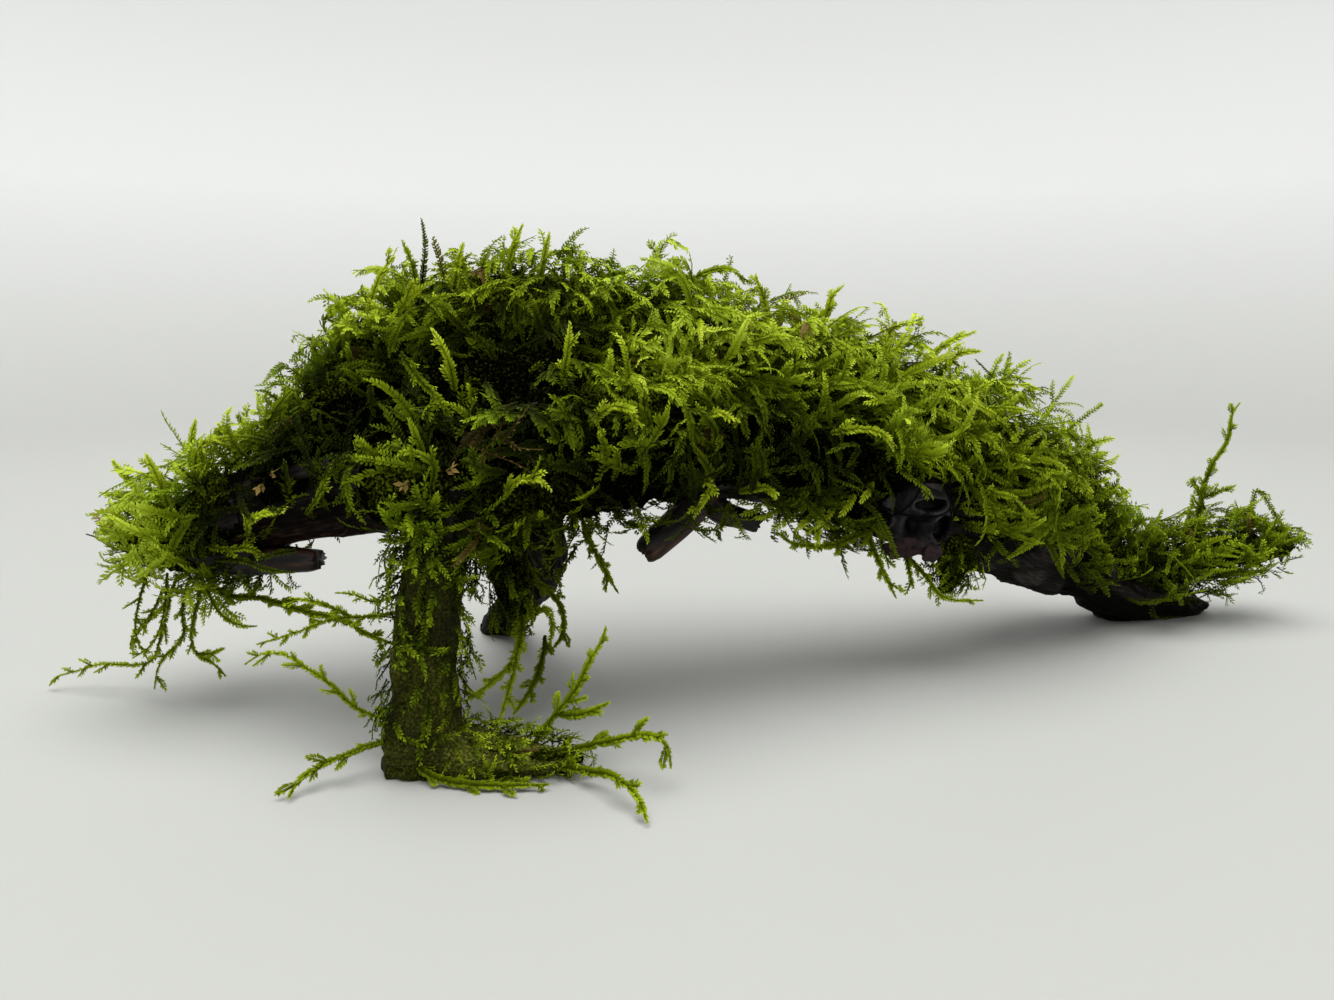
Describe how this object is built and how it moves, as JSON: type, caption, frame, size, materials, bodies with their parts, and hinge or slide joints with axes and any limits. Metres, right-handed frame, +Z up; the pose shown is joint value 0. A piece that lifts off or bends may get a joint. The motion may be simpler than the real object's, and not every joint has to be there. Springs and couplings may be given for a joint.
{
  "type": "java moss on driftwood",
  "caption": "Branching piece of dark aquarium driftwood standing on root feet, with a bare arch underneath, grown over with feathery java moss tied on with thread.",
  "frame": {"origin": "on the surface that it stands on, under the middle of the whole object's box", "axes": "+X along the length, from the end with the raised left limb to the low right foot; +Y away from the viewer of the picture, from the front root towards the back; +Z up"},
  "size_m": [0.2413, 0.0976, 0.0794],
  "materials": {
    "bark": "dark wet bark, softly glossy",
    "heartwood": "broken red brown wood, wet",
    "moss": "feathery green moss, wet",
    "shoot": "single leafy moss shoots, yellow green at the tips",
    "thread": "dark cotton thread, matte"
  },
  "bodies": {
    "root": {"arch": "bark", "left_limb": "bark", "crown_limb": "bark", "front_leg": "bark", "front_toe": "bark", "back_leg": "bark", "right_foot": "bark", "left_splinter": "heartwood", "stub_long": "heartwood", "stub_short": "heartwood", "knot": "heartwood", "moss_left_tip": "moss", "moss_left_limb": "moss", "moss_crown_left": "moss", "moss_crown_top": "moss", "moss_crown_right": "moss", "moss_slope": "moss", "moss_arch_left": "moss", "moss_arch_right": "moss", "moss_leg": "moss", "moss_toe": "moss", "moss_right_foot": "moss", "moss_knot_tuft": "moss", "moss_behind_leg": "moss", "shoot_trailing_left": "shoot", "shoot_trailing_left_inner": "shoot", "shoot_hanging_left": "shoot", "shoot_hanging_left_outer": "shoot", "shoot_under_limb_long": "shoot", "shoot_leg_left_upper": "shoot", "shoot_leg_left_lower": "shoot", "shoot_foot_left": "shoot", "shoot_foot_right_arching": "shoot", "shoot_foot_right_low": "shoot", "shoot_foot_right_upright": "shoot", "shoot_foot_front": "shoot", "shoot_curl_behind_leg": "shoot", "shoot_stem_behind_leg": "shoot", "shoot_strand_behind_leg": "shoot", "shoot_hanging_under_arch": "shoot", "shoot_under_arch": "shoot", "shoot_knot_hanging": "shoot", "shoot_knot_trailing": "shoot", "shoot_right_upright": "shoot", "shoot_right_tip": "shoot", "shoot_crown_tall_left": "shoot", "shoot_crown_thin": "shoot", "shoot_crown_tip": "shoot", "shoot_crown_arching": "shoot", "shoot_crown_stout": "shoot", "shoot_crown_right_curl": "shoot", "shoot_slope_flag": "shoot", "shoot_slope_long_dark": "shoot", "shoot_left_upright": "shoot", "shoot_left_twig": "shoot", "thread_left": "thread", "thread_crown_left": "thread", "thread_crown_right": "thread", "thread_arch": "thread", "thread_knot": "thread"}
  },
  "joints": []
}
